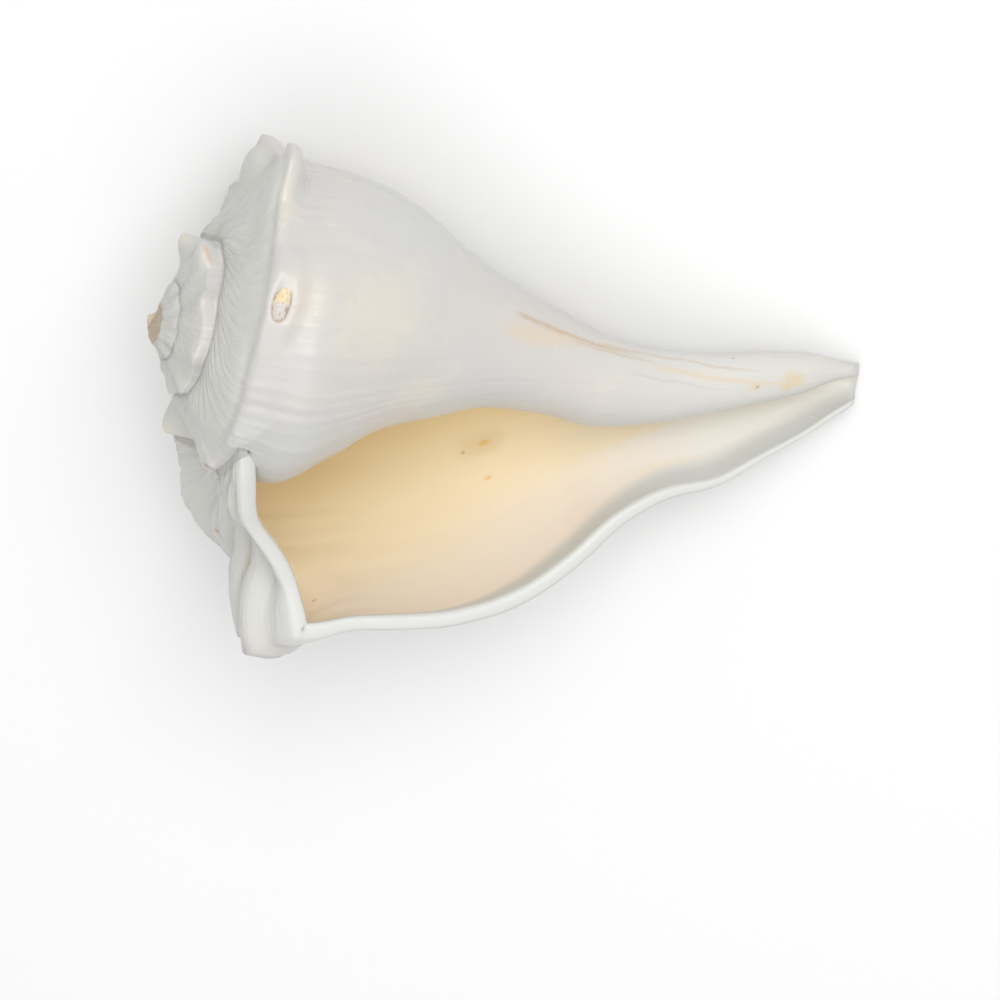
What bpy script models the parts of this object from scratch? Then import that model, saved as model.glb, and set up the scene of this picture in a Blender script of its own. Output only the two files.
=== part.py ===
"""A left-coiling whelk shell of the kind sold as a right-handed conch, lying with its mouth up.

The shell grows round an axis in one closed surface. Every point has a growth angle in degrees, where 360
is the lip and 0 is one turn before it, a station x along the axis from the apex to the end of the canal,
and a radius. The outside is a ribbon wound from the apex: its upper edge, the suture, lies on the turn
before it. Past the start of the mouth the same ribbon runs on inside as the pillar side of the hollow, and
the hollow's other side lies one wall inside the outside.
"""

import math

import bmesh
import bpy
import numpy as np
from mathutils import Matrix, Vector

MM = 0.001
LENGTH = 200.0 * MM  # apex to canal end, along the axis

# The grid: columns go round the axis, rows run from the suture to the canal end
COLUMNS_PER_TURN = 48
STEP = 360.0 / COLUMNS_PER_TURN
LEAD_COLUMNS = 5  # how far the lip runs ahead of itself where it meets the turn before
APEX_ANGLE = -900.0
LIP_ANGLE = 360.0
RAMP_ROWS = 5
BODY_ROWS = 17
SHOULDER_SPACING = 0.72  # the body's first rows lie this much closer together than evenly spaced ones
HOLLOW_COLUMNS = 60
OPEN_COLUMNS = 12  # the canal is open at its end this many columns into the mouth

# The shoulder crest: growth angle, station and radius in millimetres
CREST = (
    (-900, 2.4, 4.2),
    (-720, 4.0, 7.0),
    (-540, 6.2, 11.2),
    (-360, 8.6, 16.6),
    (-270, 9.8, 19.8),
    (-180, 13.0, 23.4),
    (-90, 15.4, 27.6),
    (0, 18.0, 33.0),
    (90, 19.6, 39.4),
    (130, 24.4, 42.8),
    (180, 31.0, 47.4),
    (270, 38.0, 60.0),
    (360, 47.0, 79.4),
)
# How far below the crest the next turn's suture lies, at a growth angle, as a share of the crest's radius
SUTURE_DROPS = ((-900, 0.08), (-340, 0.08), (-280, 0.16), (-215, 0.2), (-150, 0.11), (-90, 0.08), (360, 0.08))

# The whorl below its crest at each quarter turn: its radius about the bent middle line, in millimetres, at
# every twelfth of the way from the crest to the canal's end
OUTLINES = {
    -360: (15, 10, 7.2, 6.2, 5.9, 5.7, 5.5, 5, 4, 2.9, 1.7, 1),
    -270: (21, 13, 9, 7.4, 7, 6.6, 5.9, 5, 4, 2.9, 1.7, 1),
    -180: (24.5, 16, 11, 8.7, 7.8, 7.2, 6.7, 5.8, 4.6, 3.2, 1.8, 1),
    -90: (30, 22, 15.5, 12, 10.2, 9.7, 8.8, 6.8, 4.8, 3.4, 2.1, 1),
    0: (39, 31, 22, 18, 14.7, 15.7, 18.2, 16.7, 13.6, 10.3, 6.4, 1.6),
    90: (44.5, 39.5, 32, 25.3, 19.7, 16.5, 14, 11.2, 9.2, 8.2, 6.5, 2.2),
    180: (46, 43, 36.5, 26, 18, 11.6, 5.6, 2.7, 2.2, 3.8, 4, 1.2),
    270: (59, 55, 49.5, 41.5, 33, 24.8, 17.6, 13.2, 11.8, 11.2, 9.2, 6.2),
    360: (78, 77, 75.7, 72.5, 66.7, 57, 44.5, 37, 33.5, 26, 18.5, 9.8),
}
OUTLINE_STEP = 90.0
# The middle line's way off the axis at a station, in millimetres
MIDDLE_LINE = ((0, 0.0), (125, 0.0), (150, 0.5), (175, 1.4), (200, 2.4))

# Knobs on the shoulder: growth angle and half width in degrees, place and half width across the crest as shares
# of the crest's radius (towards the apex is negative), reach outwards and towards the apex in millimetres, and
# how blunt they are
KNOBS = (
    (348, 10, 0.0, 0.20, 1.0, 9.6, 2.8),
    (348, 10, 0.06, 0.12, 10.5, 0.6, 2.8),
    (319, 15, -0.08, 0.33, 4.0, 10.5, 2.0),
    (285, 11, -0.02, 0.18, 9.0, 4.0, 2.0),
    (233, 10, -0.02, 0.17, 9.4, 5.0, 2.8),
    (195, 10, -0.07, 0.17, 4.6, 1.0, 5.0),
    (195, 14, 0.0, 0.22, 1.2, 0.2, 2.0),
    (148, 8.0, -0.03, 0.14, 12.0, -0.6, 4.0),
    (148, 14, 0.02, 0.24, 2.6, 0.2, 2.0),
    (103, 21, 0.09, 0.17, 4.0, -1.0, 3.0),
    (7.5, 10, 0.0, 0.17, 2.8, 2.0, 2.0),
    (-37.5, 10, 0.0, 0.19, 4.0, 7.0, 2.0),
    (-82.5, 10, 0.0, 0.19, 2.4, 2.4, 2.0),
    (-120, 10, 0.0, 0.19, 2.2, 2.2, 2.0),
    (-157, 10, -0.03, 0.19, 3.2, 4.2, 2.4),
    (-208, 10, 0.0, 0.2, 3.8, 2.6, 3.0),
    (-250, 9, 0.0, 0.19, 2.2, 1.8, 2.0),
    (-292, 9, 0.0, 0.19, 1.9, 1.4, 2.0),
    (-333, 9, 0.0, 0.19, 1.7, 1.3, 2.0),
)
EARLY_KNOB_STEP = 36.0  # degrees between the knobs of the first turns
EARLY_KNOB_REACH = 0.08  # of the crest's radius
EARLY_KNOB_SPREAD = 0.22
INNER_KNOB = 0.7  # how far the hollow reaches into a knob
# How far the ramp bulges towards the apex, at a growth angle, as a share of the crest's radius
RAMP_SWELLS = ((-900, 0.035), (90, 0.035), (170, 0.005), (250, 0.005), (310, 0.035), (360, 0.035))
LIP_DIP = 5.0 * MM  # the ramp falls in by this much at the lip's edge
LIP_DIP_WIDTH = 9.0
APEX_RISE = 0.3 * MM

WALL = 2.6 * MM
LIP_WALL = 4.4 * MM
CANAL_WALL = 1.8 * MM
THIN_FROM = 120.0 * MM  # the wall thins between these stations
THIN_TO = 192.0 * MM
LIP_ROUND = 0.9 * MM
LEAST_GAP = 0.5 * MM
ROUNDED_SHARE = 0.3  # the hollow closes in a round end over this share of its length
# Where the hollow ends along the axis: degrees into the mouth and station in millimetres
HOLLOW_END = ((90, 200), (112, 168), (135, 140), (160, 122), (180, 113), (270, 99), (360, 84), (450, 48))

# As it lies: turned about its axis, then tipped, in degrees, until it stands on the worn spot of its back and
# the canal's end
REST_TURN = -20.0
REST_TIP = 18.6
FLAT_DEPTH = 0.8 * MM

SHELL_COLOUR = (0.72, 0.70, 0.66, 1.0)
SHELL_ROUGHNESS = 0.45
SHARP_ANGLE = 50.0


def smooth_line(points):
    """A smooth curve through points with no overshoot between them, straight beyond its ends."""
    xs = np.array([p[0] for p in points], float)
    ys = np.array([p[1] for p in points], float)
    steps = np.diff(xs)
    slopes = np.diff(ys) / steps
    tangents = np.empty_like(ys)
    tangents[0], tangents[-1] = slopes[0], slopes[-1]
    before, after = slopes[:-1], slopes[1:]
    w1, w2 = 2 * steps[1:] + steps[:-1], steps[1:] + 2 * steps[:-1]
    same = before * after > 0
    safe_before = np.where(same, before, 1.0)
    safe_after = np.where(same, after, 1.0)
    tangents[1:-1] = np.where(same, (w1 + w2) / (w1 / safe_before + w2 / safe_after), 0.0)

    def at(x):
        x = np.asarray(x, float)
        i = np.clip(np.searchsorted(xs, x) - 1, 0, len(xs) - 2)
        f = (x - xs[i]) / steps[i]
        g = np.clip(f, 0.0, 1.0)
        value = (
            ys[i] * (1 + 2 * g) * (1 - g) ** 2
            + steps[i] * tangents[i] * g * (1 - g) ** 2
            + ys[i + 1] * g * g * (3 - 2 * g)
            + steps[i] * tangents[i + 1] * g * g * (g - 1)
        )
        end_slope = np.where(f < 0, tangents[0], tangents[-1])
        return value + (f - g) * steps[i] * end_slope

    return at


crest_station = smooth_line([(a, x * MM) for a, x, r in CREST])
crest_log_radius = smooth_line([(a, math.log(r * MM)) for a, x, r in CREST])
middle_line = smooth_line([(x * MM, y * MM) for x, y in MIDDLE_LINE])
hollow_end = smooth_line([(a, x * MM) for a, x in HOLLOW_END])
suture_drop = smooth_line(SUTURE_DROPS)
ramp_swell = smooth_line(RAMP_SWELLS)


def crest_radius(angle):
    return np.exp(crest_log_radius(angle))


def suture_station(angle):
    """Where the turn after the one at this angle will lie on it."""
    return crest_station(angle) + suture_drop(angle) * crest_radius(angle)


def outline(angle):
    """One outline from the crest, at 0, to the canal's end, at 1, as the radius' logarithm."""
    radii = OUTLINES[angle]
    points = [(0.0, float(crest_log_radius(angle)))]
    points += [(n / len(radii), math.log(r * MM)) for n, r in enumerate(radii, 1)]
    return smooth_line(points)


KEY_ANGLES = sorted(OUTLINES)
KEY_OUTLINES = [outline(angle) for angle in KEY_ANGLES]


def body_radius(angle, x):
    """The plain whorl's radius below the crest, smooth through the outlines."""
    angle, x = np.broadcast_arrays(np.asarray(angle, float), np.asarray(x, float))
    start = crest_station(angle)
    share = (x - start) / (LENGTH - start)
    logs = np.stack([key(share) for key in KEY_OUTLINES])
    steps = (angle - KEY_ANGLES[0]) / OUTLINE_STEP
    last = len(KEY_ANGLES) - 1
    low = np.clip(np.floor(steps).astype(int), 0, last - 1)
    f = steps - low

    def log_at(i):
        return np.take_along_axis(logs, np.clip(i, 0, last)[None], 0)[0]

    a = log_at(low)
    b = log_at(low + 1)
    before = np.where(low > 0, log_at(low - 1), 2 * a - b)
    after = np.where(low + 1 < last, log_at(low + 2), 2 * b - a)
    slope_a = (b - before) / 2
    slope_b = (after - a) / 2
    inside = np.clip(f, 0, 1)
    value = (
        a * (1 + 2 * inside) * (1 - inside) ** 2
        + slope_a * inside * (1 - inside) ** 2
        + b * inside**2 * (3 - 2 * inside)
        + slope_b * inside**2 * (inside - 1)
    )
    return np.exp(value + (f - inside) * (b - a))


def off_crest(angle, x):
    """How far below the crest a station lies, as a share of the crest's radius."""
    return (x - crest_station(angle)) / crest_radius(angle)


def knob_reach(angle, off):
    """How far the knobs stand out and towards the apex, some way off the crest."""
    angle, off = np.broadcast_arrays(np.asarray(angle, float), np.asarray(off, float))
    out = np.zeros_like(angle)
    up = np.zeros_like(angle)
    for at, width, off_at, off_width, reach_out, reach_up, blunt in KNOBS:
        away = np.hypot((angle - at) / width, (off - off_at) / off_width)
        mound = np.exp(-(away**blunt))
        out = out + mound * reach_out * MM
        up = up + mound * reach_up * MM
    first = KNOBS[-1][0] - EARLY_KNOB_STEP
    early = np.cos(np.radians((angle - first) * 360.0 / EARLY_KNOB_STEP)) * 0.5 + 0.5
    early = np.where(angle < first + EARLY_KNOB_STEP / 2, early, 0.0) * EARLY_KNOB_REACH * crest_radius(angle)
    early = early * np.exp(-((off / EARLY_KNOB_SPREAD) ** 2))
    return out + early, up + early


def ease(x):
    x = np.clip(x, 0.0, 1.0)
    return x * x * (3 - 2 * x)


def whorl(angle, x):
    """A point of the outside below the crest: station and radius, knobs included."""
    out, up = knob_reach(angle, off_crest(angle, x))
    return x - up, body_radius(angle, x) + out


def plain_ramp(angle, share):
    """A point of the ramp without knobs, from the suture, share 0, to the crest, share 1, and its way off it."""
    seat = suture_station(angle - 360.0)
    seat_radius = body_radius(angle - 360.0, seat)
    rise, spread = crest_station(angle) - seat, crest_radius(angle) - seat_radius
    across = np.sin(math.pi * share)
    x = seat + rise * share - ramp_swell(angle) * crest_radius(angle) * across
    x = x + LIP_DIP * across * np.exp(-(((angle - LIP_ANGLE) / LIP_DIP_WIDTH) ** 2))
    return x, seat_radius + spread * share, (share - 1) * np.hypot(rise, spread) / crest_radius(angle)


def ramp(angle, share):
    """A point of the ramp with its own knobs and those of the turn that it lies on."""
    x, r, off = plain_ramp(angle, share)
    out, up = knob_reach(angle, off)
    under_out, under_up = knob_reach(angle - 360.0, suture_drop(angle - 360.0))
    return x - up - under_up * (1 - share), r + out + under_out * (1 - share)


def place(angle, x, r):
    """The point at a growth angle: the axis runs along X, angle 0 points to -Y and angle 90 to +Z."""
    turn = np.radians(angle)
    return np.stack([x, middle_line(x) - r * np.cos(turn), r * np.sin(turn)], -1)


def body_shares(rows):
    """Row places from just under the suture, 0, to the canal end, 1, closer together near the shoulder."""
    even = np.arange(rows + 1) / rows
    return even * (SHOULDER_SPACING + (1 - SHOULDER_SPACING) * even)


LEAD = LEAD_COLUMNS * STEP
TURN_COLUMNS = COLUMNS_PER_TURN - LEAD_COLUMNS
LAST = round((LIP_ANGLE - APEX_ANGLE) / STEP)
FIRST_OF_MOUTH = LAST - TURN_COLUMNS
CREST_ROW = RAMP_ROWS
SUTURE_ROW = CREST_ROW + 1
WALL_ROW = SUTURE_ROW + 1
END_ROW = WALL_ROW + BODY_ROWS


def upper_rows(column):
    """The visible rows of one column of any turn, from its suture to where the next turn lies on it."""
    angle = LIP_ANGLE - (LAST - column) * STEP
    shares = np.arange(RAMP_ROWS + 1) / RAMP_ROWS
    leads = LEAD * (1 - shares) ** 3
    x, r = ramp(angle + leads, shares)
    points = list(place(angle + leads, x, r))
    x, r = whorl(angle, suture_station(angle))
    points.append(place(angle, x, r))
    return points


def lower_angle(column, share):
    """The lower rows' angle: the start of the mouth leans, so that the turn closes at the canal end."""
    lead = LEAD * (1 - share)
    if column >= FIRST_OF_MOUTH:
        return LIP_ANGLE - (LAST - column) * (360.0 - lead) / TURN_COLUMNS
    return lead - (FIRST_OF_MOUTH - column) * STEP


def lower_rows(column, end):
    """The rows of one column from one wall below the suture down to a station on the axis."""
    shares = body_shares(BODY_ROWS)
    angle = lower_angle(column, shares)
    top = suture_station(angle) + WALL
    x, r = whorl(angle, top + (end - top) * shares)
    return list(place(angle, x, r))


def inset(x, r, wall):
    """The outline x, r moved inwards by the wall's thickness."""
    dx = np.gradient(x)
    dr = np.gradient(r)
    size = np.hypot(dx, dr)
    return x + wall * dr / size, r - wall * dx / size


def hollow_station(depth):
    """Where the hollow ends along the axis, this many columns into the mouth."""
    return float(hollow_end(depth * STEP)) if depth > OPEN_COLUMNS else LENGTH


def hollow_rows(depth):
    """The outer wall of the hollow, one column, this many columns into the mouth, after its first point."""
    angle = LIP_ANGLE - depth * STEP
    end = hollow_station(depth)
    shares = np.arange(RAMP_ROWS + 1) / RAMP_ROWS
    leads = LEAD * (1 - shares) ** 3
    ramp_x, ramp_r, ramp_off = plain_ramp(angle + leads, shares)
    seam = float(suture_station(angle))
    top = seam + WALL
    body_x = np.concatenate([[seam], top + (end - top) * body_shares(BODY_ROWS)])
    x = np.concatenate([ramp_x, body_x])
    r = np.concatenate([ramp_r, body_radius(angle, body_x)])
    wall = WALL + (LIP_WALL - WALL) * math.exp(-depth)
    thin = ease((x - THIN_FROM) / (THIN_TO - THIN_FROM))
    wall = wall + (CANAL_WALL - wall) * thin
    x_in, r_in = inset(x, r, wall)
    x_in[-1] = x[-1]
    r_in[-1] = r[-1] - wall[-1]
    # The pillar side, which the outer wall runs into where the hollow ends
    pillar_r = body_radius(angle - 360.0, x_in)
    rounded = ROUNDED_SHARE * (end - top)
    late = np.clip((x_in - end) / rounded + 1, 0.0, 1.0)
    closing = np.sqrt(1 - late**2)
    if depth < OPEN_COLUMNS:
        still_open = math.sqrt(1 - (depth / OPEN_COLUMNS) ** 2)
        closing = 1 - (1 - closing) * (1 - still_open)
    gap = np.maximum(r_in - pillar_r, LEAST_GAP) * closing
    r_in = np.where(x_in > top, pillar_r + gap, r_in)
    angles = np.concatenate([angle + leads, np.full(len(body_x), angle)])
    out, up = knob_reach(angles, np.concatenate([ramp_off, off_crest(angle, body_x)]))
    under_out, under_up = knob_reach(angles - 360.0, suture_drop(angles - 360.0))
    beneath = np.concatenate([1 - shares, np.zeros(len(body_x))])
    x_in = x_in - up * INNER_KNOB - under_up * beneath
    r_in = r_in + out * INNER_KNOB + under_out * beneath
    return list(place(angles, x_in, r_in)[1:])


class Grid:
    """Points and faces of the closed surface as they are made."""

    def __init__(self):
        self.mesh = bmesh.new()

    def point(self, where):
        return self.mesh.verts.new([float(value) for value in where])

    def line(self, points):
        return [self.point(where) for where in points]

    def face(self, *corners):
        different = [corner for n, corner in enumerate(corners) if corner is not corners[n - 1]]
        if len(different) > 2:
            self.mesh.faces.new(different)

    def strip(self, one, other):
        """Quads between two lines with the same number of points."""
        for n in range(len(one) - 1):
            self.face(one[n], one[n + 1], other[n + 1], other[n])

    def fill(self, one, other):
        """Triangles between two lines that start and end together, or side by side."""
        i = j = 0
        while i < len(one) - 1 or j < len(other) - 1:
            step_one = i < len(one) - 1
            if step_one and j < len(other) - 1:
                along_one = (one[i + 1].co - other[j].co).length
                along_other = (one[i].co - other[j + 1].co).length
                step_one = along_one <= along_other
            if step_one:
                self.face(one[i], one[i + 1], other[j])
                i += 1
            else:
                self.face(one[i], other[j + 1], other[j])
                j += 1


def shell_surface():
    """The whole shell as one closed surface, the axis along X."""
    grid = Grid()
    columns = []
    for column in range(LAST + 1):
        points = upper_rows(column)
        if column >= TURN_COLUMNS:
            line = [columns[column - TURN_COLUMNS][SUTURE_ROW]] + grid.line(points[1:])
        else:
            line = grid.line(points)
        if column >= FIRST_OF_MOUTH:
            line += grid.line(lower_rows(column, LENGTH))
        columns.append(line)
    for column in range(LAST):
        last_row = SUTURE_ROW if column < FIRST_OF_MOUTH else END_ROW
        grid.strip(columns[column][: last_row + 1], columns[column + 1][: last_row + 1])
    # The apex
    rim = [columns[column][0] for column in range(TURN_COLUMNS + 1)] + columns[0][SUTURE_ROW - 1 : 0 : -1]
    tip = grid.point((-APEX_RISE, 0.0, 0.0))
    for n in range(len(rim)):
        grid.face(rim[n], rim[(n + 1) % len(rim)], tip)
    # The hollow
    pillar = [columns[FIRST_OF_MOUTH][WALL_ROW:]]
    outer = []
    for depth in range(HOLLOW_COLUMNS + 1):
        if depth:
            pillar.append(grid.line(lower_rows(FIRST_OF_MOUTH - depth, hollow_station(depth))))
        points = hollow_rows(depth)
        closed = depth >= OPEN_COLUMNS
        line = [pillar[depth][0]] + grid.line(points[:-1] if closed else points)
        outer.append(line + [pillar[depth][-1]] if closed else line)
    for depth in range(HOLLOW_COLUMNS):
        grid.strip(pillar[depth], pillar[depth + 1])
        grid.strip(outer[depth], outer[depth + 1])
    grid.fill(outer[-1], pillar[-1])
    # The lip's edge, with a low round ridge along its middle
    edge = columns[LAST]
    ridge = []
    for n in range(1, len(edge)):
        middle = (edge[n].co + outer[0][n].co) / 2
        ahead = Vector((0.0, -middle.z, middle.y)).normalized()
        ridge.append(grid.point(middle - ahead * LIP_ROUND))
    grid.face(edge[0], edge[1], ridge[0])
    grid.face(edge[0], ridge[0], outer[0][0])
    grid.face(outer[0][0], ridge[0], outer[0][1])
    grid.strip(edge[1:], ridge)
    grid.strip(ridge, outer[0][1:])
    # The canal's open end
    outside = [columns[column][END_ROW] for column in range(FIRST_OF_MOUTH, LAST + 1)] + [ridge[-1]]
    inside = [pillar[depth][-1] for depth in range(OPEN_COLUMNS + 1)]
    inside += [outer[depth][-1] for depth in range(OPEN_COLUMNS - 1, -1, -1)]
    grid.fill(outside, inside)
    return grid.mesh


def lay_down(mesh):
    """Turns the shell as it lies on a table and wears its lowest spots flat, standing on Z = 0."""
    turn = Matrix.Rotation(math.radians(REST_TURN), 4, "X")
    tip = Matrix.Rotation(math.radians(REST_TIP), 4, "Y")
    bmesh.ops.transform(mesh, matrix=tip @ turn, verts=mesh.verts)
    lowest = min(vert.co.z for vert in mesh.verts)
    everything = mesh.verts[:] + mesh.edges[:] + mesh.faces[:]
    cut = bmesh.ops.bisect_plane(
        mesh,
        geom=everything,
        plane_co=(0.0, 0.0, lowest + FLAT_DEPTH),
        plane_no=(0.0, 0.0, -1.0),
        clear_outer=True,
    )
    edges = [part for part in cut["geom_cut"] if isinstance(part, bmesh.types.BMEdge)]
    bmesh.ops.holes_fill(mesh, edges=edges, sides=0)
    xs = [vert.co.x for vert in mesh.verts]
    ys = [vert.co.y for vert in mesh.verts]
    middle = Vector(((min(xs) + max(xs)) / 2, (min(ys) + max(ys)) / 2, lowest + FLAT_DEPTH))
    bmesh.ops.translate(mesh, vec=-middle, verts=mesh.verts)


def shell_material():
    material = bpy.data.materials.new("shell")
    material.use_nodes = True
    shader = material.node_tree.nodes["Principled BSDF"]
    shader.inputs["Base Color"].default_value = SHELL_COLOUR
    shader.inputs["Roughness"].default_value = SHELL_ROUGHNESS
    shader.inputs["Metallic"].default_value = 0.0
    return material


def conch_shell():
    surface = shell_surface()
    lay_down(surface)
    bmesh.ops.triangulate(surface, faces=surface.faces[:])
    bmesh.ops.recalc_face_normals(surface, faces=surface.faces[:])
    mesh = bpy.data.meshes.new("conch_shell")
    surface.to_mesh(mesh)
    surface.free()
    mesh.materials.append(shell_material())
    mesh.shade_smooth()
    mesh.set_sharp_from_angle(angle=math.radians(SHARP_ANGLE))
    return bpy.data.objects.new("conch_shell", mesh)


def main():
    for old in list(bpy.data.objects):
        bpy.data.objects.remove(old, do_unlink=True)
    collection = bpy.data.collections.new("right_handed_conch_shell")
    bpy.context.scene.collection.children.link(collection)
    collection.objects.link(conch_shell())


main()
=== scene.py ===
"""The finish of a left-coiling whelk shell, lying on its back with its mouth up.

The shell grows by one rule. Every point of it has a growth angle, a station along the axis and a radius.
They are laid out first as one closed sheet, and a Geometry Nodes tree coils the sheet, raises its knobs and
growth folds, and lays the shell down as it rests.
"""

import math

import bmesh
import bpy
import numpy as np
from mathutils import Matrix, Vector


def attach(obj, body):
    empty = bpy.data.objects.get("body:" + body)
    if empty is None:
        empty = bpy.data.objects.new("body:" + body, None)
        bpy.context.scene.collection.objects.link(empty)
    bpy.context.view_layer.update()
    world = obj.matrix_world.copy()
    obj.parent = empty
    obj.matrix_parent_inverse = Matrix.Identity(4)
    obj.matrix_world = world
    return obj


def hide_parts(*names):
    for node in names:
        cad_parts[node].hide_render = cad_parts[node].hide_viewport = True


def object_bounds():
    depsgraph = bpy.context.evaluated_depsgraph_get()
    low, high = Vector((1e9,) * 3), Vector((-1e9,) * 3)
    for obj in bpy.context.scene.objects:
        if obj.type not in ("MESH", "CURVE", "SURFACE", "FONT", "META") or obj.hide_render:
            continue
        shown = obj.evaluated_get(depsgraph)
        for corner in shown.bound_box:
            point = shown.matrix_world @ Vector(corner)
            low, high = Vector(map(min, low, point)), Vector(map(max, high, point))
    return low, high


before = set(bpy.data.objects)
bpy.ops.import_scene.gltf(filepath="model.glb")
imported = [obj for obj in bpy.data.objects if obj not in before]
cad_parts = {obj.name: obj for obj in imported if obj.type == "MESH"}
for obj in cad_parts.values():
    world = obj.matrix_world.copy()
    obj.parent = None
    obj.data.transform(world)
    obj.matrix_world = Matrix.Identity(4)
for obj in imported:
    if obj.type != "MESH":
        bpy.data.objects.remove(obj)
CAD_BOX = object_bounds()

MM = 0.001
LENGTH = 200.0 * MM  # apex to canal end, along the axis

# How the shell lies: turned about its axis, then tipped, in degrees, and where that puts its apex
REST_TURN = -20.0
REST_TIP = 18.6
APEX_PLACE = Vector((-94.64, 13.88, 69.49)) * MM

# The sheet: columns go round the axis, rows run from the suture over the ramp to the canal's end
COLUMNS_PER_TURN = 336
STEP = 360.0 / COLUMNS_PER_TURN
LEAD_COLUMNS = 35  # how far the lip runs ahead of itself where it meets the turn before
APEX_ANGLE = -900.0
LIP_ANGLE = 360.0
RAMP_ROWS = 20
SHOULDER_ROWS = 4
BODY_ROWS = 80
LIP_ROWS = 7
HOLLOW_COLUMNS = 294
OPEN_COLUMNS = 84  # the canal is open at its end this many columns into the mouth
DARK_COLUMNS = 112  # deeper than this the hollow isn't seen, and its columns stand wider apart
DARK_STEP = 7
SHOULDER_SPACING = 0.72

# The shoulder crest: growth angle, station and radius in millimetres
CREST = (
    (-900, 2.4, 4.2),
    (-720, 4.0, 7.0),
    (-540, 6.2, 11.2),
    (-360, 8.6, 16.6),
    (-270, 9.8, 19.8),
    (-180, 13.0, 23.4),
    (-90, 15.4, 27.6),
    (0, 18.0, 33.0),
    (90, 19.6, 39.4),
    (130, 24.4, 42.8),
    (180, 31.0, 47.4),
    (270, 38.0, 60.0),
    (360, 47.0, 79.4),
)
# How far below the crest the next turn's suture lies, at a growth angle, as a share of the crest's radius
SUTURE_DROPS = ((-900, 0.08), (-340, 0.08), (-280, 0.16), (-215, 0.2), (-150, 0.11), (-90, 0.08), (360, 0.08))

# The whorl below its crest at each quarter turn: its radius about the bent middle line, in millimetres, at
# every twelfth of the way from the crest to the canal's end
OUTLINES = {
    -360: (15, 10, 7.2, 6.2, 5.9, 5.7, 5.5, 5, 4, 2.9, 1.7, 1),
    -270: (21, 13, 9, 7.4, 7, 6.6, 5.9, 5, 4, 2.9, 1.7, 1),
    -180: (24.5, 16, 11, 8.7, 7.8, 7.2, 6.7, 5.8, 4.6, 3.2, 1.8, 1),
    -90: (30, 22, 15.5, 12, 10.2, 9.7, 8.8, 6.8, 4.8, 3.4, 2.1, 1),
    0: (39, 31, 22, 18, 14.7, 15.7, 18.2, 16.7, 13.6, 10.3, 6.4, 1.6),
    90: (44.5, 39.5, 32, 25.3, 19.7, 16.5, 14, 11.2, 9.2, 8.2, 6.5, 2.2),
    180: (46, 43, 36.5, 26, 18, 11.6, 5.6, 2.7, 2.2, 3.8, 4, 1.2),
    270: (59, 55, 49.5, 41.5, 33, 24.8, 17.6, 13.2, 11.8, 11.2, 9.2, 6.2),
    360: (78, 77, 75.7, 72.5, 66.7, 57, 44.5, 37, 33.5, 26, 18.5, 9.8),
}
OUTLINE_STEP = 90.0
# The middle line's way off the axis at a station, in millimetres
MIDDLE_LINE = ((0, 0.0), (125, 0.0), (150, 0.5), (175, 1.4), (200, 2.4))

# Knobs on the shoulder: growth angle and half width in degrees, place and half width across the crest as
# shares of the crest's radius (towards the apex is negative), reach outwards and towards the apex in
# millimetres, and how blunt they are
KNOBS = (
    (348, 10, 0.0, 0.20, 1.0, 9.6, 2.8),
    (348, 10, 0.06, 0.12, 10.5, 0.6, 2.8),
    (319, 15, -0.08, 0.33, 4.0, 10.5, 2.0),
    (285, 11, -0.02, 0.18, 9.0, 4.0, 2.0),
    (233, 10, -0.02, 0.17, 9.4, 5.0, 2.8),
    (195, 10, -0.07, 0.17, 4.9, 2.4, 5.0),
    (195, 14, 0.0, 0.22, 1.2, 0.2, 2.0),
    (150, 10.0, -0.03, 0.165, 10.6, -0.6, 5.0),
    (136, 15, -0.02, 0.15, 3.4, 0.2, 4.0),
    (103, 19, 0.07, 0.16, 4.4, -0.6, 4.0),
    (7.5, 10, 0.0, 0.17, 2.8, 2.0, 2.0),
    (-37.5, 10, 0.0, 0.19, 4.0, 7.0, 2.0),
    (-82.5, 10, 0.0, 0.19, 2.4, 2.4, 2.0),
    (-120, 10, 0.0, 0.19, 2.2, 2.2, 2.0),
    (-157, 10, -0.03, 0.19, 3.2, 4.2, 2.4),
    (-208, 10, 0.0, 0.2, 3.8, 2.6, 3.0),
    (-250, 9, 0.0, 0.19, 2.2, 1.8, 2.0),
    (-292, 9, 0.0, 0.19, 1.9, 1.4, 2.0),
    (-333, 9, 0.0, 0.19, 1.7, 1.3, 2.0),
)
EARLY_KNOB_STEP = 36.0  # degrees between the knobs of the first turns
EARLY_KNOB_REACH = 0.08  # of the crest's radius
EARLY_KNOB_SPREAD = 0.22  # across the crest, in the same measure
INNER_KNOB = 0.7  # how far the hollow reaches into a knob
# How far the ramp bulges towards the apex, at a growth angle, as a share of the crest's radius
RAMP_SWELLS = ((-900, 0.035), (90, 0.035), (170, 0.005), (250, 0.005), (310, 0.035), (360, 0.035))
LIP_DIP = 5.0 * MM  # how far the ramp sinks at the lip
LIP_DIP_WIDTH = 9.0  # degrees
APEX_RISE = 0.3 * MM

WALL = 2.6 * MM
LIP_WALL = 4.4 * MM
LIP_WALL_DEPTH = 7.5  # degrees into the mouth over which the thick lip thins to the wall
CANAL_WALL = 1.8 * MM
THIN_FROM = 120.0 * MM  # stations between which the wall thins to the canal's
THIN_TO = 192.0 * MM
LIP_ROUND = 0.9 * MM
LEAST_GAP = 0.5 * MM
PILLAR_FADE = 30.0  # degrees into the mouth over which the outside becomes the pillar
ROUNDED_SHARE = 0.3  # the hollow closes in a round end over this share of its length
# Where the hollow ends along the axis: degrees into the mouth and station in millimetres
HOLLOW_END = ((90, 200), (112, 168), (135, 140), (160, 122), (180, 113), (270, 99), (360, 84), (450, 48))


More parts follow.
